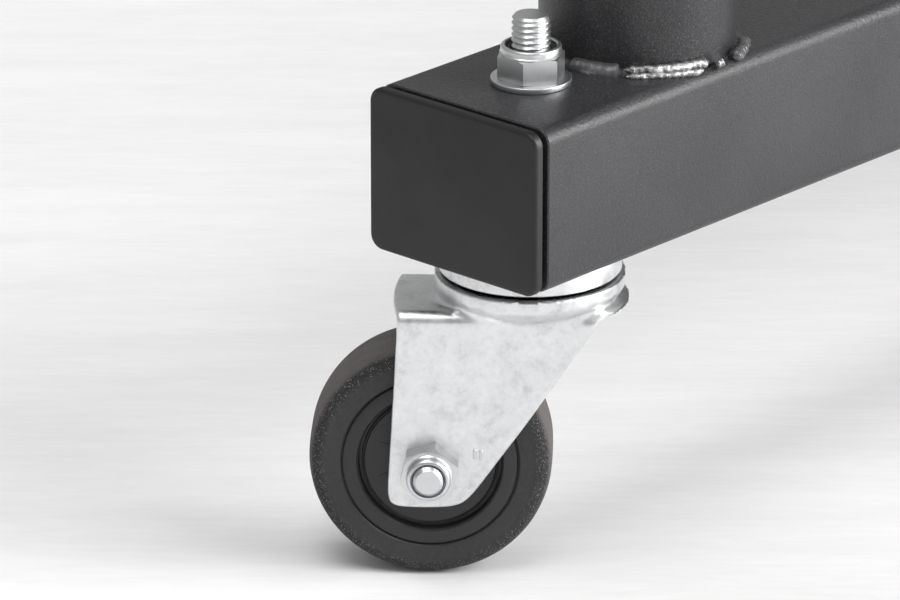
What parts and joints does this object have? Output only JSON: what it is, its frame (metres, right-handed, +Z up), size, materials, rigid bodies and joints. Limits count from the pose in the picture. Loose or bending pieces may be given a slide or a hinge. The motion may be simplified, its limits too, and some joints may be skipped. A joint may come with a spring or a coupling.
{
  "type": "paddock stand",
  "caption": "Rolling motorcycle paddock stand: U-shaped box-section base on swivel casters, two posts with height-adjustable masts, and a lever frame with padded swingarm cradles.",
  "frame": {"origin": "on the floor, under the middle of the whole stand", "axes": "+Z up, +Y from the open front towards the hand grip, +X to the right side beam as seen from the open front"},
  "size_m": [0.5824, 0.7298, 0.4471],
  "materials": {
    "powder_coat": "fine-textured black powder coat",
    "zinc": "bright zinc plate",
    "tyre_rubber": "hard black rubber, dusty tread",
    "hub_plastic": "moulded black polypropylene",
    "cap_plastic": "matte black moulded plastic",
    "knob_plastic": "matte black moulded plastic",
    "grip_foam": "closed-cell foam",
    "pad_rubber": "moulded rubber"
  },
  "bodies": {
    "base": {"left_beam": "powder_coat", "right_beam": "powder_coat", "cross_beam": "powder_coat", "left_post": "powder_coat", "right_post": "powder_coat", "left_front_end_cap": "cap_plastic", "left_rear_end_cap": "cap_plastic", "right_front_end_cap": "cap_plastic", "right_rear_end_cap": "cap_plastic", "left_front_caster_bolt": "zinc", "left_front_caster_washer": "zinc", "left_front_caster_nut": "zinc", "left_front_raceway_cap": "zinc", "left_rear_caster_bolt": "zinc", "left_rear_caster_washer": "zinc", "left_rear_caster_nut": "zinc", "left_rear_raceway_cap": "zinc", "right_front_caster_bolt": "zinc", "right_front_caster_washer": "zinc", "right_front_caster_nut": "zinc", "right_front_raceway_cap": "zinc", "right_rear_caster_bolt": "zinc", "right_rear_caster_washer": "zinc", "right_rear_caster_nut": "zinc", "right_rear_raceway_cap": "zinc"},
    "left_front_swivel": {"left_front_fork": "zinc", "left_front_axle_bolt": "zinc", "left_front_axle_nut": "zinc"},
    "left_front_wheel": {"left_front_tyre": "tyre_rubber", "left_front_hub": "hub_plastic"},
    "left_rear_swivel": {"left_rear_fork": "zinc", "left_rear_axle_bolt": "zinc", "left_rear_axle_nut": "zinc"},
    "left_rear_wheel": {"left_rear_tyre": "tyre_rubber", "left_rear_hub": "hub_plastic"},
    "right_front_swivel": {"right_front_fork": "zinc", "right_front_axle_bolt": "zinc", "right_front_axle_nut": "zinc"},
    "right_front_wheel": {"right_front_tyre": "tyre_rubber", "right_front_hub": "hub_plastic"},
    "right_rear_swivel": {"right_rear_fork": "zinc", "right_rear_axle_bolt": "zinc", "right_rear_axle_nut": "zinc"},
    "right_rear_wheel": {"right_rear_tyre": "tyre_rubber", "right_rear_hub": "hub_plastic"},
    "left_column": {"left_mast": "zinc", "left_pivot_bolt": "zinc", "left_pivot_nut": "zinc"},
    "right_column": {"right_mast": "zinc", "right_pivot_bolt": "zinc", "right_pivot_nut": "zinc"},
    "lever": {"lever_frame": "powder_coat", "hand_grip": "grip_foam"},
    "left_cradle_slide": {"left_cradle": "zinc", "left_cradle_pad": "pad_rubber"},
    "left_clamp": {"left_clamp_knob": "knob_plastic"},
    "right_cradle_slide": {"right_cradle": "zinc", "right_cradle_pad": "pad_rubber"},
    "right_clamp": {"right_clamp_knob": "knob_plastic"},
    "latch": {"latch_hook": "zinc"}
  },
  "joints": [
    {"name": "left_front_swivel_turn", "type": "hinge", "parent": "base", "child": "left_front_swivel", "pos_m": [-0.23, -0.26941, 0.094], "axis": [0, 0, 1], "continuous": true},
    {"name": "left_front_wheel_roll", "type": "hinge", "parent": "left_front_swivel", "child": "left_front_wheel", "pos_m": [-0.2521, -0.28818, 0.036], "axis": [0.6473, -0.7622, 0], "continuous": true},
    {"name": "left_rear_swivel_turn", "type": "hinge", "parent": "base", "child": "left_rear_swivel", "pos_m": [-0.23, 0.33059, 0.094], "axis": [0, 0, 1], "continuous": true},
    {"name": "left_rear_wheel_roll", "type": "hinge", "parent": "left_rear_swivel", "child": "left_rear_wheel", "pos_m": [-0.2521, 0.31182, 0.036], "axis": [0.6473, -0.7622, 0], "continuous": true},
    {"name": "right_front_swivel_turn", "type": "hinge", "parent": "base", "child": "right_front_swivel", "pos_m": [0.23, -0.26941, 0.094], "axis": [0, 0, 1], "continuous": true},
    {"name": "right_front_wheel_roll", "type": "hinge", "parent": "right_front_swivel", "child": "right_front_wheel", "pos_m": [0.2079, -0.28818, 0.036], "axis": [0.6473, -0.7622, 0], "continuous": true},
    {"name": "right_rear_swivel_turn", "type": "hinge", "parent": "base", "child": "right_rear_swivel", "pos_m": [0.23, 0.33059, 0.094], "axis": [0, 0, 1], "continuous": true},
    {"name": "right_rear_wheel_roll", "type": "hinge", "parent": "right_rear_swivel", "child": "right_rear_wheel", "pos_m": [0.2079, 0.31182, 0.036], "axis": [0.6473, -0.7622, 0], "continuous": true},
    {"name": "left_height", "type": "slide", "parent": "base", "child": "left_column", "axis": [0, 0, 1], "range_m": [0, 0.075]},
    {"name": "right_height", "type": "slide", "parent": "base", "child": "right_column", "axis": [0, 0, 1], "range_m": [0, 0.075]},
    {"name": "lever_lift", "type": "hinge", "parent": "left_column", "child": "lever", "pos_m": [-0.23, -0.22241, 0.355], "axis": [1, 0, 0], "range_deg": [0, 35]},
    {"name": "left_cradle_width", "type": "slide", "parent": "lever", "child": "left_cradle_slide", "axis": [1, 0, 0], "range_m": [-0.03, 0.03]},
    {"name": "left_clamp_turn", "type": "hinge", "parent": "base", "child": "left_clamp", "pos_m": [-0.2692, -0.22241, 0.2753], "axis": [-1, 0, 0], "range_deg": [0, 360]},
    {"name": "right_cradle_width", "type": "slide", "parent": "lever", "child": "right_cradle_slide", "axis": [1, 0, 0], "range_m": [-0.03, 0.03]},
    {"name": "right_clamp_turn", "type": "hinge", "parent": "base", "child": "right_clamp", "pos_m": [0.2692, -0.22241, 0.2753], "axis": [1, 0, 0], "range_deg": [0, 360]},
    {"name": "latch_swing", "type": "hinge", "parent": "base", "child": "latch", "pos_m": [0.104, 0.28368, 0.19369], "axis": [1, 0, 0], "range_deg": [-48, 0]}
  ],
  "couplings": [
    {"joint": "right_height", "follows": "left_height", "ratio": 1}
  ]
}
